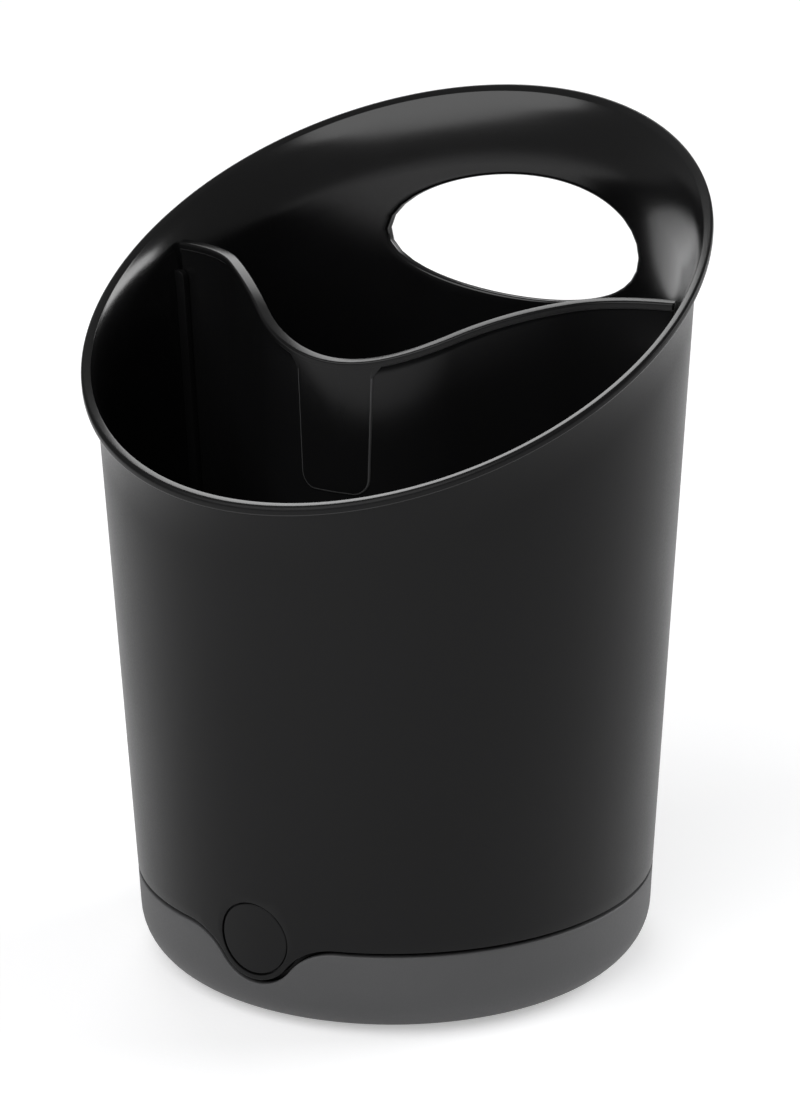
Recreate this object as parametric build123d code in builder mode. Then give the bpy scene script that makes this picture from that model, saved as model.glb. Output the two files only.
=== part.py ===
from build123d import *
import os
from math import cos, radians, sin, sqrt, tan

os.makedirs("parts", exist_ok=True)

# A round cutlery drainer: a tapered cup with a slanted, flared rim and a hand hole, a bowed
# divider that drops in between guide ribs, and a drip tray that the cup's foot stands in.
# The origin is under the middle of the tray; -Y is the low front and +Y the high back.

# body form
seam_height = 21.2        # table to the underside of the cup's shoulder
seam_radius = 60.0        # outside radius at the shoulder, where the body is round
side_taper = 0.061        # outward lean of the two sides, mm per mm of height
front_taper = 0.033       # outward lean of the front and the back, mm per mm of height
base_taper = 0.047        # outward lean below the shoulder, where everything is round
rim_height = 156.0        # table to the rim plane, on the axis
rim_tilt = 26.9           # degrees that the rim plane climbs towards the back
wall_steps = 5            # sections turn in this many steps from level to the rim's slant
cup_wall = 2.2
cup_floor = 2.2

# flared lip
flare_length = 15.0       # height over which the wall turns outwards
flare_reach = 2.5         # how far it turns out
flare_steps = 2
lip_step = 0.55           # the lip's edge stands this far outside the flare
lip_height = 1.9
lip_bevel = 0.5           # its top edges

# hand hole in the back wall
grip_height = 18.7        # from the rim plane down to the hole
hole_half_width = 33.7
hole_half_height = 14.7

# medallion, and the tongue that carries it down over the seam
medallion_radius = 8.3
medallion_groove = 0.25   # gap round the disc
medallion_depth = 1.25    # the flat seat lies this far behind the front of the wall
medallion_sink = 0.2      # the disc's face lies this far inside the wall's face
tongue_border = 1.5       # from the disc to the edge of the tongue
tongue_sweep = 14.0       # radius of the curves that lead the shoulder into the tongue

# drip tray
tray_wall = 2.2
tray_floor = 2.6
tray_edge_radius = 11.3   # rounding where its side meets its underside
tray_inside_bevel = 5.0   # inside, between its side and its floor
seam_gap = 0.9            # shadow gap between the shoulder and the tray's rim
standoff = 4.0            # height of the ribs that keep the cup's floor above the water
standoff_count = 6
standoff_thickness = 2.0
standoff_inner_radius = 10.0
standoff_outer_radius = 42.0
foot_ring_width = 3.5
foot_ring_height = 0.8    # the underside is hollow inside the foot ring

# the cup's foot, which stands in the tray
foot_clearance = 0.5
foot_bevel = 5.0          # outside, between its side and its floor
inside_bevel = 3.0        # inside, between its side and its floor
inside_step = 5.0         # height over which the wider room above draws in to the foot

# drain holes: one in the middle of the floor, and a ring of them round it
drain_radius = 4.0
drain_ring_radius = 24.0  # from the middle hole to the ring of holes round it
drain_ring_count = 6

# divider
bow_depth = 23.8          # its middle stands this far in front of the axis
bow_radius = 36.9         # plan radius of the middle
flank_angle = 41.4        # degrees that each flank turns back
flank_length = 25.8
shoulder_radius = 38.2    # plan radius where a flank turns out to the wall
shoulder_angle = 35.4     # degrees that it turns
plate_thickness = 1.6
bead_thickness = 2.4      # thickened top edge
bead_height = 2.5
bead_chamfer = 0.5
crest_drop = 4.6          # its top at the walls lies this far below the rim plane
crest_radius = 52.0       # from there the top dips forwards on this radius
pad_length = 29.0         # plain pad in the middle, down from the top edge
pad_half_width = 10.2
pad_foot_half_width = 8.8
pad_rounding = 4.0
divider_clearance = 0.4   # to the cup's wall

# guide ribs on the cup's wall, in front of the divider's ends and behind them
guide_drop = 6.8          # from the divider's top down to theirs
guide_depth = 2.6
guide_thickness = 1.6
guide_rounding = 1.8
guide_root = 0.8          # they run this far into the wall
slot_clearance = 0.3      # between each rib and the divider

# heights and insets that follow from the sizes above
rim_slope = tan(radians(rim_tilt))
back_rim = rim_height + rim_slope * (seam_radius + front_taper * (rim_height - seam_height))
flare_start = rim_height - flare_length
hole_height = back_rim - grip_height - hole_half_height
tongue_radius = medallion_radius + tongue_border
tray_rim = seam_height - seam_gap
cup_foot = tray_floor + standoff
floor_top = cup_foot + cup_floor
foot_inset = tray_wall + foot_clearance
foot_wall_top = seam_height + cup_wall


def body_section(height, tilt, inset):
    """Plane and half-axes of the ellipse where a tilted plane cuts the tapered body."""
    slope = tan(radians(tilt))
    rise = height - seam_height
    level_reach = seam_radius - inset + front_taper * rise
    back_reach = level_reach / (1 - front_taper * slope)
    front_reach = level_reach / (1 + front_taper * slope)
    centre_y = (back_reach - front_reach) / 2
    half_y = (back_reach + front_reach) / 2 / cos(radians(tilt))
    half_x = seam_radius - inset + side_taper * (rise + slope * centre_y)
    normal = (0, -sin(radians(tilt)), cos(radians(tilt)))
    plane = Plane(origin=(0, centre_y, height + slope * centre_y), x_dir=(1, 0, 0), z_dir=normal)
    return plane, half_x, half_y


def body_face(height, tilt, inset):
    """The body's cross-section, as two half-ellipses that meet at the front and the back."""
    plane, half_x, half_y = body_section(height, tilt, inset)
    with BuildSketch(plane) as section:
        with BuildLine():
            EllipticalCenterArc((0, 0), half_x, half_y, start_angle=-90, arc_size=180)
            EllipticalCenterArc((0, 0), half_x, half_y, start_angle=90, arc_size=180)
        make_face()
    return section.sketch


def flare_levels(top_depth, inset):
    """Depths and insets up the flare, which turns out with the square of its height."""
    shares = [step / flare_steps for step in range(flare_steps + 1)]
    depths = [flare_length + (top_depth - flare_length) * share for share in shares]
    return [(depth, inset - flare_reach * (1 - depth / flare_length) ** 2) for depth in depths]


def rim_loft(levels, mode):
    """Ruled form through sections parallel to the rim, each a depth under it and an inset."""
    loft([body_face(rim_height - depth, rim_tilt, inset) for depth, inset in levels], ruled=True, mode=mode)


def wall_faces(low, high, high_tilt, inset):
    """Sections up the wall, which turn evenly from level to the tilt of the highest."""
    shares = [step / wall_steps for step in range(wall_steps + 1)]
    return [body_face(low + (high - low) * share, high_tilt * share, inset) for share in shares]


def base_radius(height, inset):
    """Radius of the round form below the shoulder."""
    return seam_radius + base_taper * (height - seam_height) - inset


def room_form(gap, top_height, top_tilt):
    """The room inside the cup, drawn in by a gap: the foot, the step above it and the wall."""
    foot_room = foot_inset + cup_wall + gap
    foot_levels = [
        body_face(floor_top, 0, foot_room + inside_bevel),
        body_face(floor_top + inside_bevel, 0, foot_room),
        body_face(foot_wall_top, 0, foot_room),
    ]
    wall_levels = wall_faces(foot_wall_top + inside_step, top_height, top_tilt, cup_wall + gap)
    with BuildPart() as room:
        loft(foot_levels + wall_levels, ruled=True)
    return room.part


# outline of the tongue and of the body above the shoulder, seen from the front
with BuildSketch(Plane.XZ) as tongue_outline:
    with Locations((0, seam_height)):
        Circle(tongue_radius)
        Rectangle(4 * seam_radius, rim_height, align=(Align.CENTER, Align.MIN))
    inner_corners = tongue_outline.vertices().filter_by(lambda corner: abs(corner.X) < 2 * tongue_radius)
    fillet(inner_corners, tongue_sweep)

# plan of the divider: bowed forwards, with its ends run past the wall
with BuildLine() as bow:
    middle = JernArc(start=(0, -bow_depth), tangent=(1, 0), radius=bow_radius, arc_size=flank_angle)
    flank = PolarLine(middle @ 1, flank_length, direction=middle % 1)
    shoulder = JernArc(flank @ 1, flank % 1, shoulder_radius, -shoulder_angle)
    PolarLine(shoulder @ 1, seam_radius, direction=shoulder % 1)
    mirror(about=Plane.YZ)

crest_y = (shoulder @ 1).Y
crest_height = rim_height + rim_slope * crest_y - crest_drop
crest_middle = crest_height - crest_radius + sqrt(crest_radius**2 - (crest_y + bow_depth) ** 2)


def divider_side(drop):
    """Side view of the divider under its dipped top edge, or under a line below that edge."""
    crest_z = crest_height - drop
    with BuildSketch(Plane.YZ) as side:
        with BuildLine():
            dip = CenterArc((crest_y, crest_z - crest_radius), crest_radius, start_angle=90, arc_size=80)
            Polyline(
                dip @ 0,
                (seam_radius, crest_z),
                (seam_radius, floor_top),
                ((dip @ 1).X, floor_top),
                dip @ 1,
            )
        make_face()
    return side.sketch


# --- cup: one moulding of wall, lip, tongue, foot, floor and guide ribs ---------------------
with BuildPart() as foot:
    with Locations((0, 0, cup_foot)):
        Cone(
            base_radius(cup_foot, foot_inset),
            base_radius(foot_wall_top, foot_inset),
            foot_wall_top - cup_foot,
            align=(Align.CENTER, Align.CENTER, Align.MIN),
        )
    chamfer(foot.edges().group_by(Axis.Z)[0], foot_bevel)

with BuildPart() as guides:
    with BuildSketch(Plane.XY.offset(floor_top)):
        trace(bow.line, plate_thickness + 2 * (slot_clearance + guide_thickness))
        trace(bow.line, plate_thickness + 2 * slot_clearance, mode=Mode.SUBTRACT)
    extrude(amount=crest_height - guide_drop - floor_top)
    add(room_form(-guide_root, crest_height, 0), mode=Mode.INTERSECT)
    add(room_form(guide_depth, crest_height, 0), mode=Mode.SUBTRACT)

with BuildPart() as cup:
    tongue_foot = seam_height - tongue_radius
    loft(wall_faces(tongue_foot, flare_start, rim_tilt, 0), ruled=True)
    rim_loft(flare_levels(lip_height, 0), Mode.ADD)
    lip_inset = -flare_reach - lip_step
    rim_loft([(lip_height, lip_inset), (lip_bevel, lip_inset), (0, lip_inset + lip_bevel)], Mode.ADD)
    # below the shoulder only the tongue is left, and that at the front
    with BuildSketch(Plane.XZ):
        Rectangle(4 * seam_radius, seam_height, align=(Align.CENTER, Align.MIN))
        add(tongue_outline.sketch, mode=Mode.SUBTRACT)
    extrude(amount=2 * seam_radius, mode=Mode.SUBTRACT)
    with BuildSketch(Plane.XZ):
        Rectangle(4 * seam_radius, seam_height, align=(Align.CENTER, Align.MIN))
    extrude(amount=-2 * seam_radius, mode=Mode.SUBTRACT)
    add(foot.part)
    # the room inside, which opens with the flare
    add(room_form(0, flare_start, rim_tilt), mode=Mode.SUBTRACT)
    mouth_inset = cup_wall - flare_reach - lip_bevel
    rim_loft(flare_levels(lip_bevel, cup_wall) + [(0, mouth_inset), (-lip_height, mouth_inset)], Mode.SUBTRACT)
    add(guides.part)
    # hand hole
    with BuildSketch(Plane.XZ):
        with Locations((0, hole_height)):
            Ellipse(hole_half_width, hole_half_height)
    extrude(amount=-2 * seam_radius, mode=Mode.SUBTRACT)
    # flat seat for the medallion
    with BuildSketch(Plane.XZ.offset(seam_radius - medallion_depth)):
        with Locations((0, seam_height)):
            Circle(medallion_radius + medallion_groove)
    extrude(amount=seam_radius, mode=Mode.SUBTRACT)
    # drain holes
    with BuildSketch(Plane.XY.offset(cup_foot)):
        Circle(drain_radius)
        with PolarLocations(drain_ring_radius, drain_ring_count, start_angle=180 / drain_ring_count):
            Circle(drain_radius)
    extrude(amount=cup_floor, mode=Mode.SUBTRACT)

    # rounded corners of the guide ribs' tops
    guide_tops = cup.faces().filter_by(Axis.Z).filter_by(lambda face: face.center().Z > flare_start)
    guide_corners = [top.edges().sort_by(lambda edge: abs(edge.center().X))[0] for top in guide_tops]
    fillet(guide_corners, guide_rounding)

cup.part.label = "cup"
export_step(cup.part, "parts/cup.step")

# --- divider: a bowed plate with a beaded top edge and a plain pad in the middle ------------
with BuildPart() as bead:
    with BuildSketch(Plane.XY.offset(floor_top)):
        trace(bow.line, bead_thickness)
    extrude(amount=crest_height - floor_top)
    extrude(divider_side(0), amount=2 * seam_radius, both=True, mode=Mode.INTERSECT)
    extrude(divider_side(bead_height), amount=2 * seam_radius, both=True, mode=Mode.SUBTRACT)
    bead_top = bead.faces().filter_by(lambda face: face.normal_at().Z > 0.5)
    long_edges = bead_top.edges().filter_by(lambda edge: edge.length > 1.5 * bead_thickness)
    chamfer(long_edges, bead_chamfer)

with BuildPart() as divider:
    with BuildSketch(Plane.XY.offset(floor_top)):
        trace(bow.line, bead_thickness)
    extrude(amount=crest_height - floor_top)
    with BuildSketch(Plane.XZ) as pad_outline:
        Polygon(
            (-pad_foot_half_width, crest_middle - pad_length),
            (pad_foot_half_width, crest_middle - pad_length),
            (pad_half_width, crest_height - bead_height),
            (-pad_half_width, crest_height - bead_height),
            align=None,
        )
        fillet(pad_outline.vertices().group_by(Axis.Y)[0], pad_rounding)
    extrude(amount=2 * seam_radius, mode=Mode.INTERSECT)
    with BuildSketch(Plane.XY.offset(floor_top)):
        trace(bow.line, plate_thickness)
    extrude(amount=crest_height - floor_top)
    extrude(divider_side(bead_height / 2), amount=2 * seam_radius, both=True, mode=Mode.INTERSECT)
    add(bead.part)
    add(room_form(divider_clearance, crest_height, 0), mode=Mode.INTERSECT)

divider.part.label = "divider"
export_step(divider.part, "parts/divider.step")

# --- drip tray: a shallow dish with a notch round the tongue --------------------------------
with BuildPart() as tray_room:
    with Locations((0, 0, tray_floor)):
        Cone(
            base_radius(tray_floor, tray_wall),
            base_radius(seam_height, tray_wall),
            seam_height - tray_floor,
            align=(Align.CENTER, Align.CENTER, Align.MIN),
        )
    chamfer(tray_room.edges().group_by(Axis.Z)[0], tray_inside_bevel)

with BuildPart() as drip_tray:
    Cone(
        base_radius(0, 0),
        base_radius(tray_rim, 0),
        tray_rim,
        align=(Align.CENTER, Align.CENTER, Align.MIN),
    )
    # its lower edge turns up in three flats that touch the rounding
    chamfer(drip_tray.edges().group_by(Axis.Z)[0], tray_edge_radius * (2 - sqrt(2)))
    bends = drip_tray.edges().group_by(Axis.Z)[0] + drip_tray.edges().group_by(Axis.Z)[1]
    chamfer(bends, tray_edge_radius * (tan(radians(22.5)) - tan(radians(11.25))))
    add(tray_room.part, mode=Mode.SUBTRACT)
    with BuildSketch():
        Circle(base_radius(0, tray_edge_radius + foot_ring_width))
    extrude(amount=foot_ring_height, mode=Mode.SUBTRACT)
    # notch round the cup's tongue
    with BuildSketch(Plane.XZ):
        add(tongue_outline.sketch)
        offset(amount=seam_gap)
    extrude(amount=2 * seam_radius, mode=Mode.SUBTRACT)
    # ribs that carry the cup
    with BuildSketch(Plane.XY.offset(tray_floor)):
        with PolarLocations((standoff_inner_radius + standoff_outer_radius) / 2, standoff_count):
            Rectangle(standoff_outer_radius - standoff_inner_radius, standoff_thickness)
    extrude(amount=standoff)

drip_tray.part.label = "drip_tray"
export_step(drip_tray.part, "parts/drip_tray.step")

# --- medallion: a plain disc whose face follows the wall ------------------------------------
with BuildPart() as medallion:
    with BuildSketch(Plane.XZ.offset(seam_radius - medallion_depth)):
        with Locations((0, seam_height)):
            Circle(medallion_radius)
    extrude(amount=seam_radius)
    face_radius, lean = seam_radius - medallion_sink, front_taper * 2 * medallion_radius
    with Locations((0, 0, seam_height)):
        Cone(face_radius - lean, face_radius + lean, 4 * medallion_radius, mode=Mode.INTERSECT)

medallion.part.label = "medallion"
export_step(medallion.part, "parts/medallion.step")
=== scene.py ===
import bpy
import numpy as np
from math import cos, pi, radians, sin, sqrt
from mathutils import Matrix, Vector


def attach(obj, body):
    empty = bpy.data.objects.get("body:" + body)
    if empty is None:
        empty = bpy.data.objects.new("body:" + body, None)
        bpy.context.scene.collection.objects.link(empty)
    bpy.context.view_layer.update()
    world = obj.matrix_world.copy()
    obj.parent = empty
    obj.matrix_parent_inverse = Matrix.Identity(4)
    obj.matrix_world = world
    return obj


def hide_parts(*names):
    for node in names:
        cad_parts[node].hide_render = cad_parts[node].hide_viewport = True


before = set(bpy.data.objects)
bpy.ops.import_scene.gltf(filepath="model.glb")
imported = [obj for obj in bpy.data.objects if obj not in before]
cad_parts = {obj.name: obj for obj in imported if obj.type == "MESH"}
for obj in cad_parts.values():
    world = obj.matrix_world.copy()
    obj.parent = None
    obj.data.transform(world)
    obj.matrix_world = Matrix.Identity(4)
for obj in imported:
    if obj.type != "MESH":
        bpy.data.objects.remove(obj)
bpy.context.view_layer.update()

# --- Studio ---------------------------------------------------------------------------------
# The drainer stands on pale paper between two large soft lamps, behind it on the left and on the
# right, with a weak, nearer one above its front, so that black plastic stays black.
paper_colour = "#E9E9EA"
camera_azimuth, camera_elevation = 31.49, 17.15    # degrees
camera_distance, camera_lens = 777.1, 111.9        # mm
camera_aim = (1.55, 94.47)                         # mm to the right of the axis, mm above the floor
camera_roll = -0.0074                              # radians
camera_sensor = 36.0                               # mm
camera_clip = (0.05, 50.0)                         # m
lamps = {                                          # azimuth, elevation, distance m, width m, height m, watts
    "lamp_front": (-6, 43, 1.15, 1.75, 0.98, 11.2),
    "lamp_left": (-140, 36, 4.5, 2.8, 2.0, 43.0),
    "lamp_right": (142, 24, 4.5, 3.9, 1.8, 140.0),
}
lamp_aim = Vector((0, 0, 0.09))                    # m, half-way up the drainer
world_level = 0.2
paper_radius, paper_corners = 6.0, 96              # m
paper_tooth, paper_tooth_height = 900.0, 0.0003    # bumps to the metre, some 1.1 mm each, and m
paper_lift = 0.4                                   # how much lighter it is seen than lit


def linear(hex_colour):
    """The linear colour, with alpha, of an sRGB hex value."""
    parts = [int(hex_colour[i : i + 2], 16) / 255 for i in (1, 3, 5)]
    return (*[p / 12.92 if p <= 0.04045 else ((p + 0.055) / 1.055) ** 2.4 for p in parts], 1.0)


def add_node(tree, kind, inputs=None, **settings):
    """Adds a node, sets its properties, and gives each named input a value or a link."""
    node = tree.nodes.new(kind)
    for name, value in settings.items():
        setattr(node, name, value)
    for name, value in (inputs or {}).items():
        if isinstance(value, bpy.types.NodeSocket):
            tree.links.new(value, node.inputs[name])
        else:
            node.inputs[name].default_value = value
    return node


def new_material(name):
    """A material with an empty node tree."""
    material = bpy.data.materials.new(name)
    material.use_nodes = True
    material.node_tree.nodes.clear()
    return material, material.node_tree


def direction(azimuth, elevation):
    """Unit vector from the object, 0 degrees at its front and 90 at its right."""
    a, e = radians(azimuth), radians(elevation)
    return Vector((sin(a) * cos(e), -cos(a) * cos(e), sin(e)))


# paper: matt, with a faint tooth; the camera sees it a little lighter than it is lit, so that
# the background comes out white and the object's shadow stays
paper, tree = new_material("matt_paper")
place = add_node(tree, "ShaderNodeTexCoord")
tooth = add_node(
    tree,
    "ShaderNodeTexNoise",
    {"Vector": place.outputs["Object"], "Scale": paper_tooth, "Detail": 3.0},
)
relief = add_node(
    tree,
    "ShaderNodeBump",
    {"Height": tooth.outputs[0], "Strength": 0.1, "Distance": paper_tooth_height},
)
rays = add_node(tree, "ShaderNodeLightPath")
seen = rays.outputs["Is Camera Ray"]
for ray in ("Is Glossy Ray", "Is Transmission Ray"):
    seen = add_node(tree, "ShaderNodeMath", {0: seen, 1: rays.outputs[ray]}, operation="MAXIMUM").outputs[0]
lift = add_node(tree, "ShaderNodeMath", {0: seen, 1: paper_lift}, operation="MULTIPLY")
sheet = add_node(
    tree,
    "ShaderNodeBsdfPrincipled",
    {
        "Base Color": linear(paper_colour),
        "Roughness": 0.9,
        "Specular IOR Level": 0.1,
        "Normal": relief.outputs[0],
        "Emission Color": (1, 1, 1, 1),
        "Emission Strength": lift.outputs[0],
    },
)
add_node(tree, "ShaderNodeOutputMaterial", {"Surface": sheet.outputs[0]})

floor_mesh = bpy.data.meshes.new("paper_sweep")
corners = [paper_radius * direction(a * 360 / paper_corners, 0) for a in range(paper_corners)]
floor_mesh.from_pydata(corners, [], [range(paper_corners)])
floor_mesh.materials.append(paper)
floor = bpy.data.objects.new("paper_sweep", floor_mesh)
bpy.context.scene.collection.objects.link(floor)

for name, (azimuth, elevation, distance, width, height, watts) in lamps.items():
    lamp = bpy.data.objects.new(name, bpy.data.lights.new(name, "AREA"))
    lamp.data.shape, lamp.data.size, lamp.data.size_y, lamp.data.energy = "ELLIPSE", width, height, watts
    lamp.location = lamp_aim + direction(azimuth, elevation) * distance
    lamp.rotation_euler = direction(azimuth, elevation).to_track_quat("Z", "Y").to_euler()
    bpy.context.scene.collection.objects.link(lamp)

world = bpy.data.worlds.new("studio")
world.use_nodes = True
tree = world.node_tree
tree.nodes.clear()
sky = add_node(tree, "ShaderNodeBackground", {"Color": (1, 1, 1, 1), "Strength": world_level})
add_node(tree, "ShaderNodeOutputWorld", {"Surface": sky.outputs[0]})
bpy.context.scene.world = world
bpy.context.scene.view_settings.view_transform = "Standard"

back = direction(camera_azimuth, camera_elevation)
right = Vector((cos(radians(camera_azimuth)), sin(radians(camera_azimuth)), 0))
up = back.cross(right)
right_rolled = right * cos(camera_roll) + up * sin(camera_roll)
up_rolled = up * cos(camera_roll) - right * sin(camera_roll)
aim = right * camera_aim[0] + Vector((0, 0, camera_aim[1]))
camera = bpy.data.objects.new("camera", bpy.data.cameras.new("camera"))
camera.data.lens, camera.data.sensor_width = camera_lens, camera_sensor
camera.data.clip_start, camera.data.clip_end = camera_clip
turned_to = Matrix((right_rolled, up_rolled, back)).transposed().to_4x4()
camera.matrix_world = Matrix.Translation((aim + back * camera_distance) * 0.001) @ turned_to
bpy.context.scene.collection.objects.link(camera)
bpy.context.scene.camera = camera

# --- Cup ------------------------------------------------------------------------------------
# The drainer's body, one injection moulding in black polypropylene: a wall that leans out from
# a stepped-in foot, a flared rim whose lip falls inwards, a hand hole in the high back, and a
# tongue at the front that comes down over the tray and carries the medallion.
seam_height, seam_radius = 21.2, 60.0
side_taper, front_taper, base_taper = 0.061, 0.033, 0.047
rim_height, rim_tilt = 156.0, 26.9
wall_thickness = 2.2
flare_length, flare_reach, mouth_reach = 15.0, 2.5, 2.95       # its reach outside and inside
curl_length, curl_reach = 3.5, 0.4                 # the last of the flare inside, which curls out more
lip_reach, lip_height, lip_slope = 3.05, 1.9, radians(15)      # its top falls inwards by the slope
lip_outer_rounding, lip_under_rounding, lip_inner_rounding = 0.7, 0.4, 0.4
lip_end, lip_inner_turn = 0.63, 1.26               # depth where it meets the flare inside, and radians
lip_inner_centre = (0.3, 0.95)                     # below and outside that end, as shares of its rounding
hole_height, hole_half_width, hole_half_height, hole_rounding = 155.3, 33.7, 14.7, 0.6
tongue_radius, tongue_sweep, edge_rounding = 9.8, 14.0, 0.35
seat_radius, seat_rounding, seat_y = 8.55, 0.15, -58.75
cup_foot, floor_top, foot_inset, foot_rounding = 6.6, 8.8, 2.7, 5.0
step_top, step_foot, room_inset, room_rounding = 28.4, 23.4, 4.9, 3.0
room_heights = (20.0, 16.0)
drain_radius, drain_ring_radius, drain_ring_count = 4.0, 24.0, 6
drill_sides, drill_depth = 40, 6.0
# the polished black is a little darker than the satin: partly its finish, partly painted shade for the shaded
# inside
satin_black, polished_and_shade_black = ("#0D0D0D", "#121213"), ("#0A0A0A", "#0E0E0F")
haze_size, wave_size, grain_size = 0.030, 0.009, 0.00045       # m
polypropylene_ior = 1.49

flare_start = rim_height - flare_length
wall_foot = seam_height - tongue_radius
columns, foot_rows, wall_rows, flare_rows, mouth_rows, step_rows = 320, 10, 40, 8, 16, 6
# the blocks of faces that give way to the hand hole and to the seat, and the steps of what fills them
hole_half_columns, hole_row_outside, hole_row_inside, hole_steps = 34, 29, 11, 7
seat_half_columns, seat_rows, seat_steps = 13, 10, 5
turn = np.arange(columns) * 2 * pi / columns      # 0 at the front, a quarter turn at +X
at_front = np.cos(turn) > 0


def body_ring(height, tilt, inset, turn):
    """Points round the body where a tilted plane cuts it, set in by an inset."""
    slope = np.tan(np.radians(tilt))
    rise = height - seam_height
    reach = seam_radius - inset + front_taper * rise
    behind, ahead = reach / (1 - front_taper * slope), reach / (1 + front_taper * slope)
    half_x = seam_radius - inset + side_taper * (rise + slope * (behind - ahead) / 2)
    y = (behind - ahead) / 2 - (behind + ahead) / 2 * np.cos(turn)
    return np.stack(np.broadcast_arrays(half_x * np.sin(turn), y, height + slope * y), -1)


def wall(share, turn, inset):
    """Points at a share of the way up the wall, where the rings turn from level to the rim's slant."""
    return body_ring(wall_foot + (flare_start - wall_foot) * share, rim_tilt * share, inset, turn)


def halve(is_low, shape, low, high):
    """The value between low and high up to which is_low holds, found by halving."""
    low, high = np.full(shape, float(low)), np.full(shape, float(high))
    for _ in range(32):
        half = (low + high) / 2
        short = is_low(half)
        low, high = np.where(short, half, low), np.where(short, high, half)
    return low


def wall_share(z, inset):
    """Share of the way up the wall at which each column reaches the height z."""
    return halve(lambda share: wall(share, turn, inset)[..., 2] < z, columns, -0.1, 1.1)


def wall_point(x, z, inset, behind):
    """Points of the wall, in front or behind, that lie at x and z in the front view."""

    def at(share):
        lean = np.arcsin(np.clip(x / wall(share, pi / 2, inset)[..., 0], -1, 1))
        return wall(share, pi - lean if behind else lean, inset)

    return at(halve(lambda share: at(share)[..., 2] < z, np.shape(x), -0.1, 1.2))


def shoulder_line(x, border):
    """Height of the shoulder's edge at x, dipping round the tongue, moved outwards by border."""
    x = np.abs(x)
    sweep_x = sqrt((tongue_radius + tongue_sweep) ** 2 - tongue_sweep**2)
    tip, sweep = tongue_radius + border, tongue_sweep - border
    tip_z = seam_height - np.sqrt(np.maximum(tip**2 - x**2, 0))
    sweep_z = seam_height - tongue_sweep + np.sqrt(np.maximum(sweep**2 - (sweep_x - x) ** 2, 0))
    join = sweep_x * tip / (tip + sweep)
    return np.where(x < join, tip_z, np.where(x < sweep_x, sweep_z, seam_height - border))


def round_ring(radius, z):
    """Points of a round ring, whose radius and height may differ from column to column."""
    return np.stack(np.broadcast_arrays(radius * np.sin(turn), -radius * np.cos(turn), z), -1)


def base_radius(z, inset):
    """Radius of the round form below the shoulder."""
    return seam_radius + base_taper * (z - seam_height) - inset


def foot_radius(z, inset, foot_z, rounding):
    """Radius of a round foot or room at the height z, with its lower edge rounded."""
    bend = np.clip((foot_z + rounding - z) / rounding, 0, 1)
    return base_radius(z, inset) - rounding * (1 - np.sqrt(1 - bend**2))


def quarter(steps, rounding):
    """Pairs that go round a quarter circle: how far along it and how far across it."""
    angles = np.linspace(0, pi / 2, steps)
    return [(rounding * sin(a), rounding * (1 - cos(a))) for a in angles]


def strip(lower, upper):
    """Four-sided faces between two closed loops of points."""
    return np.stack([lower, np.roll(lower, -1), np.roll(upper, -1), upper], 1)


def smooth(mesh):
    """Smooth shading, but for edges where the faces turn by more than 35 degrees."""
    mesh.shade_smooth()
    mesh.set_sharp_from_angle(angle=radians(35))


def make_piece(name, loops, faces, material):
    """A smooth object, at the origin, from loops of points in mm and their faces."""
    points = np.concatenate(loops)
    used = np.unique(np.concatenate([np.ravel(f) for f in faces]))
    place = np.zeros(len(points), int)
    place[used] = np.arange(len(used))
    mesh = bpy.data.meshes.new(name)
    corners = [place[np.asarray(f)].tolist() for f in faces]
    mesh.from_pydata((points[used] * 0.001).tolist(), [], corners)
    mesh.materials.append(material)
    smooth(mesh)
    piece = bpy.data.objects.new(name, mesh)
    bpy.context.scene.collection.objects.link(piece)
    return piece


def number(loops):
    """Index numbers of the points of each loop, counted through all of them."""
    starts = np.cumsum([0] + [len(loop) for loop in loops])
    return [np.arange(starts[i], starts[i + 1]) for i in range(len(loops))]


def black_finish(name, blacks, roughness, shine, waviness, grain_relief):
    """Black moulded polypropylene: blacks, roughness range, shine, relief of waves and grain in mm."""
    material, tree = new_material(name)
    place = add_node(tree, "ShaderNodeTexCoord").outputs["Object"]
    haze, waves, grain = [
        add_node(tree, "ShaderNodeTexNoise", {"Vector": place, "Scale": 1 / size, "Detail": detail})
        for size, detail in [(haze_size, 4.0), (wave_size, 2.0), (grain_size, 2.0)]
    ]
    tone = add_node(
        tree,
        "ShaderNodeMix",
        {0: haze.outputs[0], 6: linear(blacks[0]), 7: linear(blacks[1])},
        data_type="RGBA",
    )
    gloss = add_node(tree, "ShaderNodeMath", {0: haze.outputs[0], 1: grain.outputs[0]}, operation="ADD")
    gloss = add_node(
        tree,
        "ShaderNodeMapRange",
        {
            "Value": gloss.outputs[0],
            "From Min": 0.6,
            "From Max": 1.4,
            "To Min": roughness[0],
            "To Max": roughness[1],
        },
    )
    relief = add_node(
        tree,
        "ShaderNodeBump",
        {"Height": waves.outputs[0], "Strength": 1.0, "Distance": waviness * 0.001},
    )
    relief = add_node(
        tree,
        "ShaderNodeBump",
        {
            "Height": grain.outputs[0],
            "Strength": 1.0,
            "Distance": grain_relief * 0.001,
            "Normal": relief.outputs[0],
        },
    )
    plastic = add_node(
        tree,
        "ShaderNodeBsdfPrincipled",
        {
            "Base Color": tone.outputs[2],
            "Roughness": gloss.outputs[0],
            "IOR": polypropylene_ior,
            "Specular IOR Level": shine,
            "Normal": relief.outputs[0],
        },
    )
    add_node(tree, "ShaderNodeOutputMaterial", {"Surface": plastic.outputs[0]})
    return material


# black polypropylene from a satin mould face, outside: a deep black with a soft shine and a fine
# grain; the real grain is some 0.1 mm and is drawn at 0.45 mm so that it shows
satin_plastic = black_finish("satin_moulded_polypropylene", satin_black, (0.3, 0.4), 0.155, 0.012, 0.003)
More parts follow.
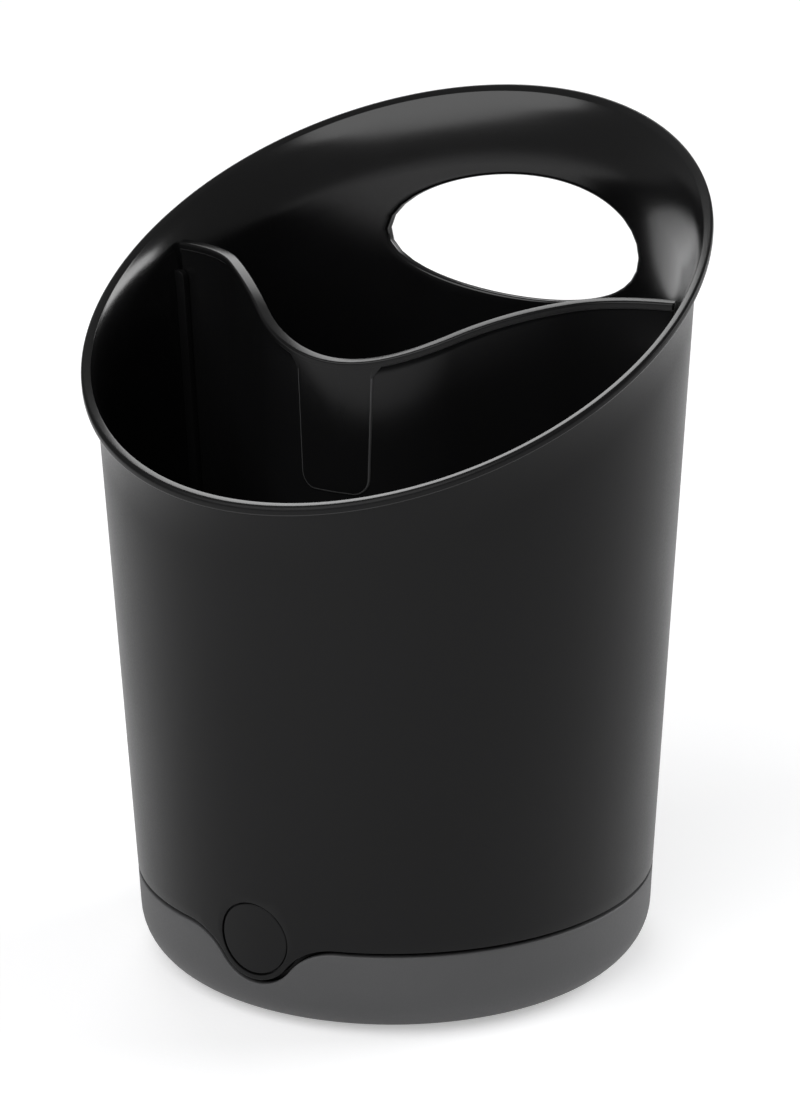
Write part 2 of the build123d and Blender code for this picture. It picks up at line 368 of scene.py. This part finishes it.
# the same plastic from a polished core, inside, on the lip's top and along its lower edge: clear
# reflections, a little wavy as moulded walls are; its black, a little darker than the satin's, is
# partly its finish and partly painted shade for the shaded inside that it mostly covers
polished_and_shade_plastic = black_finish(
    "polished_polypropylene_and_painted_shade", polished_and_shade_black, (0.15, 0.22), 0.48, 0.008, 0.0004
)


def mouth_inset(depth):
    """How far the inner face of the flare lies inside the body's outer form."""
    curl = curl_reach * max(1 - depth / curl_length, 0) ** 2
    return wall_thickness - mouth_reach * (1 - depth / flare_length) ** 2 - curl


def shoulder_ring(border, inset):
    """Ring of the body's surface along the shoulder's edge, and its share of the way up."""
    z = np.full(columns, seam_height - border)
    for _ in range(6):
        share = wall_share(z, inset)
        ring = wall(share, turn, inset)
        z = np.where(at_front, shoulder_line(ring[:, 0], border), seam_height - border)
    return ring, share


# the cup's rings, from the middle of its underside, up outside, over the lip and down inside
shares = np.linspace(0, 1, wall_rows + 1)
foot_line = np.where(at_front, shoulder_line((seam_radius - foot_inset) * np.sin(turn), 0), seam_height)
loops = []
for up in np.linspace(0, 1, foot_rows + 1):
    z = cup_foot + (foot_line - cup_foot) * up**2
    loops.append(round_ring(foot_radius(z, foot_inset, cup_foot, foot_rounding), z))
loops.append(shoulder_ring(0, (foot_inset + edge_rounding) / 2)[0])
for up, out in quarter(5, edge_rounding):
    ring, low_share = shoulder_ring(-out, edge_rounding - up)
    loops.append(ring)
wall_row = len(loops) - 1
for share in shares[1:]:
    loops.append(wall(low_share + (1 - low_share) * share, turn, 0))
flare_row = len(loops) - 1
for down in np.linspace(0, 1, flare_rows + 1)[1:]:
    depth = flare_length - (flare_length - lip_height) * down
    inset = -flare_reach * (1 - depth / flare_length) ** 2
    loops.append(body_ring(rim_height - depth, rim_tilt, inset, turn))
flare_end_row = len(loops)
lip = []                                           # depth below the rim's plane and inset of each loop
for along, across in quarter(4, lip_under_rounding):
    lip.append((lip_height - across, lip_under_rounding - along - lip_reach))
lip_side_row = flare_end_row + len(lip) - 1
for a in np.linspace(0, pi / 2 + lip_slope, 8):
    lip.append((lip_outer_rounding * (1 - sin(a)), lip_outer_rounding * (1 - cos(a)) - lip_reach))
lip_inner_row = flare_end_row + len(lip) - 3       # where the polished top begins
for a in np.linspace(lip_slope, lip_inner_turn, 6):
    depth = lip_end + lip_inner_rounding * (lip_inner_centre[0] - cos(a))
    lip.append((depth, mouth_inset(lip_end) + lip_inner_rounding * (sin(a) - lip_inner_centre[1])))
for depth, inset in lip:
    loops.append(body_ring(rim_height - depth, rim_tilt, inset, turn))
for down in np.linspace(0, 1, mouth_rows + 1)[1:]:
    depth = lip_end + (flare_length - lip_end) * down**1.6     # closer together towards the lip
    loops.append(body_ring(rim_height - depth, rim_tilt, mouth_inset(depth), turn))
mouth_row = len(loops) - 1
room_share = wall_share(step_top, wall_thickness)
for share in shares[-2::-1]:
    loops.append(wall(room_share + (1 - room_share) * share, turn, wall_thickness))
for down in np.linspace(0, 1, step_rows + 1)[1:]:
    drawn_in = down**2 * (3 - 2 * down)
    z = step_top - (step_top - step_foot) * down
    loops.append(body_ring(z, 0, wall_thickness + (room_inset - wall_thickness) * drawn_in, turn))
for z in room_heights:
    loops.append(body_ring(z, 0, room_inset, turn))
for along, across in quarter(6, room_rounding):
    loops.append(body_ring(floor_top + room_rounding - along, 0, room_inset + across, turn))
rings = number(loops)


def turned(centre_z, half_width, half_height, rim_points):
    """Angle of each point of a loop, as an opening of these half-axes sees it."""
    return np.arctan2((rim_points[:, 2] - centre_z) / half_height, rim_points[:, 0] / half_width)


def oval(angles, centre_z, half_width, half_height, border):
    """x and z of an ellipse's points, moved outwards by border."""
    out = np.stack([np.cos(angles) / half_width, np.sin(angles) / half_height], -1)
    out = border * out / np.linalg.norm(out, axis=1, keepdims=True)
    return half_width * np.cos(angles) + out[:, 0], centre_z + half_height * np.sin(angles) + out[:, 1]


def strips(rings):
    """A strip of faces from each closed loop to the next."""
    return [strip(rings[i], rings[i + 1]) for i in range(len(rings) - 1)]


faces = strips(rings)
points = np.concatenate(loops)


def open_block(low_row, high_row, first, last):
    """Takes a block of faces out of the rings, and returns the loop of points round it."""
    step = 1 if high_row > low_row else -1
    gone = np.arange(first, last) % columns
    for row in range(min(low_row, high_row), max(low_row, high_row)):
        faces[row] = np.delete(faces[row], gone, 0)
    rim = [rings[low_row][c % columns] for c in range(first, last)]
    rim += [rings[r][last % columns] for r in range(low_row, high_row, step)]
    rim += [rings[high_row][c % columns] for c in range(last, first, -1)]
    rim += [rings[r][first % columns] for r in range(high_row, low_row, -step)]
    return np.array(rim)


def led_to(edge, block, steps, inset, behind):
    """Loops of the wall between the loop round an opened block and the edge of its opening."""
    x, z = points[block][:, 0], points[block][:, 2]
    return [
        wall_point(x * (1 - near) + edge[0] * near, z * (1 - near) + edge[1] * near, inset, behind)
        for near in np.linspace(0, 1, steps + 1)[1:-1]
    ]


# hand hole: the wall's faces give way to rings that lead to its rounded edges
hole_first, hole_last = columns // 2 - hole_half_columns, columns // 2 + hole_half_columns
outside = open_block(wall_row + hole_row_outside, flare_row, hole_first, hole_last)
inside = open_block(mouth_row + hole_row_inside, mouth_row, hole_first, hole_last)
angles = turned(hole_height, hole_half_width, hole_half_height, points[outside])
edge = oval(angles, hole_height, hole_half_width, hole_half_height, hole_rounding)
hole = led_to(edge, outside, hole_steps, 0, True)
for along, across in quarter(5, hole_rounding):
    x, z = oval(angles, hole_height, hole_half_width, hole_half_height, hole_rounding - along)
    hole.append(wall_point(x, z, across, True))
for along, across in quarter(5, hole_rounding)[::-1]:
    x, z = oval(angles, hole_height, hole_half_width, hole_half_height, hole_rounding - along)
    hole.append(wall_point(x, z, wall_thickness - across, True))
hole += led_to(edge, inside, hole_steps, wall_thickness, True)[::-1]
hole_rings = [outside] + [ring + len(points) for ring in number(hole)] + [inside]
faces += strips(hole_rings)

# medallion's seat: a round recess with a flat ground
outside = open_block(wall_row, wall_row + seat_rows, -seat_half_columns, seat_half_columns)
angles = turned(seam_height, 1, 1, points[outside])
edge = oval(angles, seam_height, seat_radius, seat_radius, seat_rounding)
seat = led_to(edge, outside, seat_steps, 0, False)
for along, across in quarter(3, seat_rounding):
    x, z = oval(angles, seam_height, seat_radius, seat_radius, seat_rounding - along)
    seat.append(wall_point(x, z, across, False))
seat.append(np.stack([x, np.full(len(x), seat_y), z], -1))
seat_rings = [outside] + [ring + len(points) + sum(map(len, hole)) for ring in number(seat)]
faces += strips(seat_rings)
loops += hole + seat

# which of the strips have the polished finish
polished = [i >= lip_inner_row or flare_end_row <= i < lip_side_row for i in range(len(rings) - 1)]
polished += [i >= len(hole_rings) // 2 for i in range(len(hole_rings) - 1)]
polished += [False] * (len(seat_rings) - 1)
cup_faces = [face for group in faces for face in group]
cup_faces += [rings[0][::-1], rings[-1], seat_rings[-1]]
cup = make_piece("cup_shell", loops, cup_faces, satin_plastic)
inner_face = [shiny for group, shiny in zip(faces, polished) for _ in group] + [False, True, False]
cup.data.attributes.new("inner_face", "BOOLEAN", "FACE").data.foreach_set("value", inner_face)


def new_tree(name, inputs):
    """A geometry node tree with these named inputs, their sockets' identifiers, and its input node."""
    tree = bpy.data.node_groups.new(name, "GeometryNodeTree")
    for in_out in ("OUTPUT", "INPUT"):
        tree.interface.new_socket("Geometry", in_out=in_out, socket_type="NodeSocketGeometry")
    sockets = {
        label: tree.interface.new_socket(label, in_out="INPUT", socket_type="NodeSocket" + kind).identifier
        for label, kind in inputs
    }
    return tree, sockets, add_node(tree, "NodeGroupInput")


# drain holes, one in the middle of the floor and a ring of them round it, drilled by a tree
tree, sockets, given = new_tree(
    "drain_holes",
    [
        ("Hole radius", "Float"),
        ("Ring radius", "Float"),
        ("Holes in ring", "Int"),
        ("Floor height", "Float"),
        ("Finish outside", "Material"),
        ("Finish inside", "Material"),
    ],
)
half_step = add_node(tree, "ShaderNodeMath", {0: pi, 1: given.outputs["Holes in ring"]}, operation="DIVIDE")
turned_by = add_node(tree, "ShaderNodeCombineXYZ", {"Z": half_step.outputs[0]})
circle = add_node(
    tree,
    "GeometryNodeMeshCircle",
    {"Vertices": given.outputs["Holes in ring"], "Radius": given.outputs["Ring radius"]},
)
circle = add_node(
    tree,
    "GeometryNodeTransform",
    {"Geometry": circle.outputs[0], "Rotation": turned_by.outputs[0]},
)
centres = add_node(tree, "GeometryNodeJoinGeometry")
for socket in (add_node(tree, "GeometryNodeMeshLine", {"Count": 1}).outputs[0], circle.outputs[0]):
    tree.links.new(socket, centres.inputs[0])
height = add_node(tree, "ShaderNodeCombineXYZ", {"Z": given.outputs["Floor height"]})
lifted = add_node(
    tree,
    "GeometryNodeTransform",
    {"Geometry": centres.outputs[0], "Translation": height.outputs[0]},
)
drill = add_node(
    tree,
    "GeometryNodeMeshCylinder",
    {"Vertices": drill_sides, "Radius": given.outputs["Hole radius"], "Depth": drill_depth * 0.001},
)
drills = add_node(
    tree,
    "GeometryNodeInstanceOnPoints",
    {"Points": lifted.outputs[0], "Instance": drill.outputs[0]},
)
solid_drills = add_node(tree, "GeometryNodeRealizeInstances", {"Geometry": drills.outputs[0]})
drilled = add_node(
    tree,
    "GeometryNodeMeshBoolean",
    {"Mesh 1": given.outputs["Geometry"], "Mesh 2": solid_drills.outputs[0]},
    operation="DIFFERENCE",
)
real = add_node(tree, "GeometryNodeRealizeInstances", {"Geometry": drilled.outputs[0]})
finished = add_node(
    tree,
    "GeometryNodeSetMaterial",
    {"Geometry": real.outputs[0], "Material": given.outputs["Finish outside"]},
)
inner_face = add_node(tree, "GeometryNodeInputNamedAttribute", {"Name": "inner_face"}, data_type="BOOLEAN")
finished = add_node(
    tree,
    "GeometryNodeSetMaterial",
    {
        "Geometry": finished.outputs[0],
        "Selection": inner_face.outputs[0],
        "Material": given.outputs["Finish inside"],
    },
)
add_node(tree, "NodeGroupOutput", {"Geometry": finished.outputs[0]})


def grow(piece, tree, values):
    """Runs a node tree on a piece with these inputs, and leaves the result as its plain mesh."""
    modifier = piece.modifiers.new(tree.name, "NODES")
    modifier.node_group = tree
    for identifier, value in values.items():
        modifier[identifier] = value
    bpy.context.view_layer.update()
    mesh = bpy.data.meshes.new_from_object(piece.evaluated_get(bpy.context.evaluated_depsgraph_get()))
    piece.modifiers.remove(modifier)
    piece.data = mesh
    smooth(mesh)


grow(
    cup,
    tree,
    {
        sockets["Hole radius"]: drain_radius * 0.001,
        sockets["Ring radius"]: drain_ring_radius * 0.001,
        sockets["Holes in ring"]: drain_ring_count,
        sockets["Floor height"]: (cup_foot + floor_top) / 2 * 0.001,
        sockets["Finish outside"]: satin_plastic,
        sockets["Finish inside"]: polished_and_shade_plastic,
    },
)
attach(cup, "cup")
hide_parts("cup")

# --- Guide ribs -----------------------------------------------------------------------------
# Four ribs of the same moulding run up the inside of the wall, one in front of each end of the
# divider and one behind it, and hold the divider's ends in a slot.
bow_depth, bow_radius = 23.8, 36.9
flank_angle, flank_length = radians(41.4), 25.8
bow_shoulder_radius, bow_shoulder_angle = 38.2, radians(35.4)
crest_height, crest_y, crest_radius = 157.4, 11.82, 52.0
plate_thickness = 1.6
guide_near, guide_thickness, guide_depth, guide_root = 1.1, 1.6, 2.6, 0.8
guide_top, guide_top_rounding, guide_edge_rounding = 150.6, 1.8, 0.3
guide_bottom = floor_top - 0.3                     # its foot goes a little into the floor


def bow_point(along, offset):
    """x and y on the divider's bowed line, at a distance along it from the middle, set off backwards."""
    run = np.abs(along)
    bend = np.clip(run, 0, bow_radius * flank_angle) / bow_radius
    run = np.maximum(run - bow_radius * flank_angle, 0)
    flank = np.clip(run, 0, flank_length)
    run = np.maximum(run - flank_length, 0)
    unbend = np.clip(run, 0, bow_shoulder_radius * bow_shoulder_angle) / bow_shoulder_radius
    tail = np.maximum(run - bow_shoulder_radius * bow_shoulder_angle, 0)
    heading = bend - unbend
    last = flank_angle - bow_shoulder_angle
    x = bow_radius * np.sin(bend) + flank * cos(flank_angle) + tail * cos(last)
    x += bow_shoulder_radius * (sin(flank_angle) - np.sin(flank_angle - unbend))
    y = -bow_depth + bow_radius * (1 - np.cos(bend)) + flank * sin(flank_angle) + tail * sin(last)
    y += bow_shoulder_radius * (np.cos(flank_angle - unbend) - cos(flank_angle))
    return (x - offset * np.sin(heading)) * np.sign(along), y + offset * np.cos(heading)


def bow_end(z, offset, gap):
    """Distance along the bowed line at which it comes within a gap of the cup's inside."""
    z = np.asarray(z, float)
    drawn_in = np.clip((step_top - z) / (step_top - step_foot), 0, 1) * (room_inset - wall_thickness)
    corner = np.clip(floor_top + room_rounding - z, 0, room_rounding)
    inset = wall_thickness + drawn_in + corner + gap
    half_x = seam_radius - inset + side_taper * (z - seam_height)
    half_y = seam_radius - inset + front_taper * (z - seam_height)

    def inside(along):
        x, y = bow_point(along, offset)
        return (x / half_x) ** 2 + (y / half_y) ** 2 < 1

    return halve(inside, z.shape, 20, 95)


guide_heights = [guide_bottom, 11.8, 17.0, step_foot, 25.9, step_top, 50, 75, 100, 125]
guide_back_off = [0.0] * len(guide_heights)        # how far the free edge falls back towards the wall
for along, across in quarter(7, guide_top_rounding):
    guide_heights.append(guide_top - guide_top_rounding + along)
    guide_back_off.append(across)
guide_heights, guide_back_off = np.array(guide_heights), np.array(guide_back_off)
guides, guide_faces = [], []
for side in (-1, 1):
    for face in (-1, 1):
        near, far = face * guide_near, face * (guide_near + guide_thickness)
        if side * face > 0:
            near, far = far, near
        corners = []
        for offset, gap in [(near, guide_depth), (far, guide_depth), (far, -guide_root), (near, -guide_root)]:
            heights = guide_heights.copy()
            reach = np.where(gap > 0, gap - guide_back_off, gap)
            x, y = bow_point(side * bow_end(heights, np.full(heights.shape, offset), reach), offset)
            corners.append(np.stack([x, y, heights], -1))
        start = sum(len(loop) for loop in guides)
        levels = np.stack(corners, 1)
        guides += list(levels)
        for level in range(len(levels) - 1):
            low = start + 4 * level + np.arange(4)
            guide_faces += list(strip(low, low + 4))
        guide_faces += [start + np.arange(4)[::-1], start + 4 * (len(levels) - 1) + np.arange(4)]
ribs = make_piece("guide_ribs", guides, guide_faces, satin_plastic)
softened = ribs.modifiers.new("softened", "BEVEL")
softened.width, softened.segments, softened.limit_method = guide_edge_rounding * 0.001, 3, "ANGLE"
softened.angle_limit = radians(40)
ribs.data = bpy.data.meshes.new_from_object(ribs.evaluated_get(bpy.context.evaluated_depsgraph_get()))
ribs.modifiers.clear()
smooth(ribs.data)
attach(ribs, "cup")

# --- Divider --------------------------------------------------------------------------------
# A loose bowed plate of the same black polypropylene, dropped in between the guide ribs, with a
# thick beaded top edge that dips to the middle and a plain raised pad below it.
bead_half, bead_height, bead_front_rounding, bead_back_rounding, bead_corner = 1.2, 2.1, 0.5, 0.3, 0.3
bead_fall = 0.4                                    # how far its top falls to the front
bead_root = (0.08, 0.05)                           # out and down from the plate to its underside
plate_stop = 0.3                                   # how far below the bead the plate's rows end
divider_clearance, end_rounding = 0.4, 0.3
pad_length, pad_half_width, pad_foot_half_width, pad_rounding, pad_sweep = 29.0, 9.72, 8.8, 4.0, 2.2
pad_edge_rounding, pad_top = 0.39, 1.4             # its top ends inside the bead, below its edge
pad_half = bead_half - 0.01                        # a hair behind the bead's face, so it ends in it
plate_rows, plate_columns = 17, 140
# the pale grey of the bead's and the pad's edges is a painted highlight
ground_black, painted_highlight_grey = ("#0F0F0F", "#131314"), ("#3C3C3C", "#505051")


def crest(y):
    """Height of the divider's top edge, which dips forwards of the shoulders."""
    dip = np.sqrt(crest_radius**2 - np.maximum(crest_y - y, 0) ** 2)
    return crest_height - crest_radius + dip


# heights at the plate's foot, where its ends follow the corner and the step of the cup's inside
low_heights = [8.8, 9.8, 11.8, 17.6, 23.4, 25.0, 26.7, 28.4]
half_plate = plate_thickness / 2
# outline of the plate's section: thickness offset, and a height, a share of the plate or a drop
section = []
for side, rounding in ((-1, bead_front_rounding), (1, bead_back_rounding)):
    half_section = [(half_plate, "z", z) for z in low_heights]
    half_section += [(half_plate, "share", s) for s in np.linspace(0, 1, plate_rows + 1)[1:]]
    half_section += [
        (half_plate + bead_root[0], "drop", bead_height + bead_root[1]),
        (bead_half - bead_corner, "drop", bead_height),
        (bead_half, "drop", bead_height - bead_corner),
        (bead_half, "drop", (bead_height + rounding) / 2),
    ]
    for along, across in quarter(7, rounding):
        fall = bead_fall * (bead_half - side * (bead_half - across)) / (2 * bead_half)
        half_section.append((bead_half - across, "drop", rounding - along + fall))
    section += [(side * offset, kind, value) for offset, kind, value in half_section[::-side]]
corner_rows = (len(half_section) - 10, len(half_section) + 8)   # the faces of the bead's lower corners
# places along the bow: a share of the way to either end, and a distance in from it
ends = [0.0, 0.06, 0.16, end_rounding]
places = [(-1, gap) for gap in ends]
places += [(u, end_rounding + end_rounding * abs(u)) for u in np.linspace(-1, 1, plate_columns + 1)]
places += [(1, gap) for gap in ends[::-1]]
share_u, from_end = np.array(places).T
end_bend = np.maximum(end_rounding - from_end, 0)
squeeze = 1 - (end_rounding - np.sqrt(end_rounding**2 - end_bend**2)) / half_plate
rows = []
for offset, kind, value in section:
    across = offset * squeeze
    z = np.full(len(places), 100.0)                # a first guess
    for _ in range(7):                             # height and place along the bow settle together
        along = share_u * (bow_end(z, across, divider_clearance) - from_end)
        x, y = bow_point(along, across)
        if kind == "z":
            z = np.full(len(places), value)
        elif kind == "drop":
            z = crest(bow_point(along, bead_half * squeeze)[1]) - value
        else:
            z = low_heights[-1] + value * (crest(y) - bead_height - plate_stop - low_heights[-1])
    rows.append(np.stack([x, y, z], -1))
plate_loops = list(np.stack(rows, 1))              # one loop of the section for each place along the bow
plate_rings = number(plate_loops)
plate_faces = [face for low, high in zip(plate_rings, plate_rings[1:]) for face in strip(high, low)]
plate_faces += [plate_rings[0], plate_rings[-1][::-1]]


def bead_top(x):
    """Height of the bead's top edge behind the point of its front face at x."""
    lean = np.sqrt(1 - (x / (bow_radius + bead_half)) ** 2)
    return crest(-bow_depth + bow_radius - (bow_radius - bead_half) * lean)


def pad_outline(border):
    """x and z round the pad, drawn in by border; its sides sweep out into the bead."""
    foot_z = float(crest(-bow_depth)) - pad_length
    corner_x, corner_z = pad_foot_half_width - pad_rounding, foot_z + pad_rounding
    angles = np.linspace(-pi / 2, 0, 12)
    x = np.concatenate([[0], corner_x + (pad_rounding - border) * np.cos(angles)])
    z = np.concatenate([[foot_z + border], corner_z + (pad_rounding - border) * np.sin(angles)])
    wide = pad_half_width + pad_sweep
    sweep_z = float(bead_top(wide)) - bead_height - pad_sweep
    angles = np.linspace(pi, pi / 2, 8)
    x = np.concatenate([x, wide + (pad_sweep + border) * np.cos(angles)])
    z = np.concatenate([z, sweep_z + (pad_sweep + border) * np.sin(angles)])
    over = np.linspace(1, 0, 12) * wide
    x = np.concatenate([x, over])
    z = np.concatenate([z, bead_top(over) - pad_top])
    return np.concatenate([x, -x[1:-1][::-1]]), np.concatenate([z, z[1:-1][::-1]])


pad_loops = []
# each step's scale, border and offset: over the face, round the edge, and the same behind
pad_steps = [(k, pad_edge_rounding, -pad_half) for k in (0.04, 0.25, 0.5, 0.75, 0.9)]
for along, across in quarter(5, pad_edge_rounding):
    pad_steps.append((1, pad_edge_rounding - along, across - pad_half))
pad_edge_strips = (5, 6, 7, 8, 10, 11, 12, 13)     # those that go round its edge, in front and behind
pad_steps += [(k, border, -offset) for k, border, offset in pad_steps[::-1]]
for scale, border, offset in pad_steps:
    x, z = pad_outline(border)
    middle_z = z[0] + (z[len(z) // 2] - z[0]) / 2
    x, z = x * scale, middle_z + (z - middle_z) * scale
    along = bow_radius * np.arcsin(x / (bow_radius - offset))
    x, y = bow_point(np.where(along == 0, 1e-9, along), offset)    # at 0 the bow has no side
    pad_loops.append(np.stack([x, y, z], -1))
pad_rings = number(plate_loops + pad_loops)[len(plate_loops) :]
pad_faces = [face for low, high in zip(pad_rings, pad_rings[1:]) for face in strip(high, low)]
pad_faces += [pad_rings[0], pad_rings[-1][::-1]]
# the same plastic from a fine-ground mould face: a shine between the cup's two finishes
ground_plastic = black_finish("ground_moulded_polypropylene", ground_black, (0.18, 0.26), 0.2, 0.006, 0.001)
divider = make_piece("divider_plate", plate_loops + pad_loops, plate_faces + pad_faces, ground_plastic)
# the sharp edges of the bead and the pad are painted pale grey with a stronger shine: a painted highlight
# along them
painted_highlight_plastic = black_finish("painted_highlight_edge", painted_highlight_grey, (0.35, 0.5), 0.5, 0.006, 0.002)
divider.data.materials.append(painted_highlight_plastic)
painted_highlight_faces = [i % len(section) in corner_rows for i in range(len(plate_faces))]
painted_highlight_faces += [i // len(pad_rings[0]) in pad_edge_strips for i in range(len(pad_faces))]
divider.data.polygons.foreach_set("material_index", np.array(painted_highlight_faces, np.int32))
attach(divider, "divider")
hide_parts("divider")

# --- Drip tray ------------------------------------------------------------------------------
# A loose round dish moulded in dark grey polypropylene with a matt, fine-grained face. The cup
# stands in it on six low ribs, and its rim dips at the front round the cup's tongue.
seam_gap, rim_rounding = 0.9, 0.35
tray_side_rounding, tray_floor, tray_room_rounding = 11.3, 2.6, 9.1
ring_inner, ring_height, ring_bevel = 44.2, 0.8, 0.3           # the foot ring
tray_rows = 18
rib_count, rib_inner, rib_outer, rib_thickness, rib_height = 6, 10.0, 42.0, 2.0, 4.0
rib_rounding, rib_shift = 0.4, 1.0                 # each rib stands this much further out
tray_grey, tray_grey_dark = "#4C4C4D", "#454546"
cloud_size, tray_grain_size, tray_grain_relief = 0.020, 0.0005, 0.00004     # m

# spark-eroded mould face: a dry matt grey, with a fine even grain that breaks the light; the
# real grain is some 0.15 mm and is drawn at 0.5 mm so that it shows
matt_plastic, tree = new_material("matt_spark_grained_polypropylene")
place = add_node(tree, "ShaderNodeTexCoord").outputs["Object"]
cloud, grain = [
    add_node(tree, "ShaderNodeTexNoise", {"Vector": place, "Scale": 1 / size, "Detail": detail})
    for size, detail in [(cloud_size, 4.0), (tray_grain_size, 3.0)]
]
tone = add_node(
    tree,
    "ShaderNodeMix",
    {0: cloud.outputs[0], 6: linear(tray_grey), 7: linear(tray_grey_dark)},
    data_type="RGBA",
)
dryness = add_node(tree, "ShaderNodeMapRange", {"Value": grain.outputs[0], "To Min": 0.5, "To Max": 0.66})
relief = add_node(
    tree,
    "ShaderNodeBump",
    {"Height": grain.outputs[0], "Strength": 0.5, "Distance": tray_grain_relief},
)
plastic = add_node(
    tree,
    "ShaderNodeBsdfPrincipled",
    {
        "Base Color": tone.outputs[2],
        "Roughness": dryness.outputs[0],
        "IOR": polypropylene_ior,
        "Specular IOR Level": 0.5,
        "Normal": relief.outputs[0],
    },
)
add_node(tree, "ShaderNodeOutputMaterial", {"Surface": plastic.outputs[0]})


def tray_ring(border, inset):
    """Ring along the tray's rim, which dips round the tongue."""
    z = np.full(columns, seam_height - border)
    for _ in range(6):
        radius = base_radius(z, inset)
        z = np.where(at_front, shoulder_line(radius * np.sin(turn), border), seam_height - border)
    return round_ring(base_radius(z, inset), z), z


# the tray's rings, from the middle of its underside, over the foot ring, up outside, down inside
loops = [
    round_ring(ring_inner - ring_bevel, ring_height),
    round_ring(ring_inner, ring_height - ring_bevel),
    round_ring(ring_inner, ring_bevel),
    round_ring(ring_inner + ring_bevel, 0),
]
rim_z = tray_ring(seam_gap + rim_rounding, 0)[1]
for up in np.linspace(0, 1, tray_rows + 1)[:-1]:
    z = rim_z * up**2
    loops.append(round_ring(foot_radius(z, 0, 0, tray_side_rounding), z))
for along, across in quarter(5, rim_rounding):
    loops.append(tray_ring(seam_gap + rim_rounding - along, across)[0])
for along, across in quarter(5, rim_rounding)[::-1]:
    loops.append(tray_ring(seam_gap + rim_rounding - along, wall_thickness - across)[0])
for down in np.linspace(1, 0, tray_rows + 1)[1:]:
    z = tray_floor + (rim_z - tray_floor) * down**2
    loops.append(round_ring(foot_radius(z, wall_thickness, tray_floor, tray_room_rounding), z))
rings = number(loops)
tray_faces = [face for group in strips(rings) for face in group]
tray_faces += [rings[0][::-1], rings[-1]]
tray = make_piece("drip_tray_dish", loops, tray_faces, matt_plastic)
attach(tray, "tray")
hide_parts("drip_tray")

# the low ribs under the cup, set round the middle by a tree of their own
tree, sockets, given = new_tree(
    "standoff_ribs",
    [
        ("Rib count", "Int"),
        ("Inner radius", "Float"),
        ("Outer radius", "Float"),
        ("Thickness", "Float"),
        ("Height", "Float"),
        ("Floor height", "Float"),
        ("Finish", "Material"),
    ],
)
ring_points = add_node(
    tree,
    "GeometryNodeMeshCircle",
    {"Vertices": given.outputs["Rib count"], "Radius": rib_shift * 0.001},
)
number_of = add_node(tree, "GeometryNodeInputIndex")
step = add_node(tree, "ShaderNodeMath", {0: 2 * pi, 1: given.outputs["Rib count"]}, operation="DIVIDE")
angle = add_node(tree, "ShaderNodeMath", {0: step.outputs[0], 1: number_of.outputs[0]}, operation="MULTIPLY")
spin = add_node(tree, "ShaderNodeCombineXYZ", {"Z": angle.outputs[0]})
end_in = add_node(tree, "ShaderNodeCombineXYZ", {"X": given.outputs["Inner radius"]})
end_out = add_node(tree, "ShaderNodeCombineXYZ", {"X": given.outputs["Outer radius"]})
path = add_node(
    tree,
    "GeometryNodeCurvePrimitiveLine",
    {"Start": end_in.outputs[0], "End": end_out.outputs[0]},
)
outline = add_node(
    tree,
    "GeometryNodeCurvePrimitiveQuadrilateral",
    {"Width": given.outputs["Thickness"], "Height": given.outputs["Height"]},
)
outline = add_node(
    tree,
    "GeometryNodeFilletCurve",
    {"Curve": outline.outputs[0], "Radius": rib_rounding * 0.001, "Count": 4},
    mode="POLY",
)
bar = add_node(
    tree,
    "GeometryNodeCurveToMesh",
    {"Curve": path.outputs[0], "Profile Curve": outline.outputs[0], "Fill Caps": True},
)
placed = add_node(
    tree,
    "GeometryNodeInstanceOnPoints",
    {"Points": ring_points.outputs[0], "Instance": bar.outputs[0], "Rotation": spin.outputs[0]},
)
half_up = add_node(
    tree,
    "ShaderNodeMath",
    {0: given.outputs["Height"], 1: 0.5, 2: given.outputs["Floor height"]},
    operation="MULTIPLY_ADD",
)
raised = add_node(tree, "ShaderNodeCombineXYZ", {"Z": half_up.outputs[0]})
stood = add_node(
    tree,
    "GeometryNodeTransform",
    {"Geometry": placed.outputs[0], "Translation": raised.outputs[0]},
)
real = add_node(tree, "GeometryNodeRealizeInstances", {"Geometry": stood.outputs[0]})
finished = add_node(
    tree, "GeometryNodeSetMaterial", {"Geometry": real.outputs[0], "Material": given.outputs["Finish"]}
)
add_node(tree, "NodeGroupOutput", {"Geometry": finished.outputs[0]})
standoffs = bpy.data.objects.new("standoff_ribs", bpy.data.meshes.new("standoff_ribs"))
bpy.context.scene.collection.objects.link(standoffs)
grow(
    standoffs,
    tree,
    {
        sockets["Rib count"]: rib_count,
        sockets["Inner radius"]: rib_inner * 0.001,
        sockets["Outer radius"]: rib_outer * 0.001,
        sockets["Thickness"]: rib_thickness * 0.001,
        sockets["Height"]: rib_height * 0.001,
        sockets["Floor height"]: tray_floor * 0.001,
        sockets["Finish"]: matt_plastic,
    },
)
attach(standoffs, "tray")

# --- Medallion ------------------------------------------------------------------------------
# A small plain disc of black polypropylene pressed into a seat on the tongue, its bare face a
# hair below the wall's and its edge rounded.
medallion_radius, medallion_sink, medallion_rounding, medallion_columns = 8.3, 0.2, 0.35, 96
face_radius = medallion_radius - medallion_rounding
around = np.arange(medallion_columns) * 2 * pi / medallion_columns
disc_steps = [(radius, 0) for radius in (0.6, 2, 4, 6, face_radius - 0.3)]     # radius and drop
disc_steps += [(face_radius + along, across) for along, across in quarter(6, medallion_rounding)]
loops = []
for radius, drop in disc_steps:
    x, z = radius * np.cos(around), seam_height + radius * np.sin(around)
    loops.append(wall_point(x, z, medallion_sink + drop, False))
loops.append(loops[-1].copy())
loops[-1][:, 1] = seat_y
rings = number(loops)
disc_faces = [face for low, high in zip(rings, rings[1:]) for face in strip(high, low)]
disc_faces += [rings[0], rings[-1][::-1]]
medallion = make_piece("medallion_disc", loops, disc_faces, satin_plastic)
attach(medallion, "cup")
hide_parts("medallion")
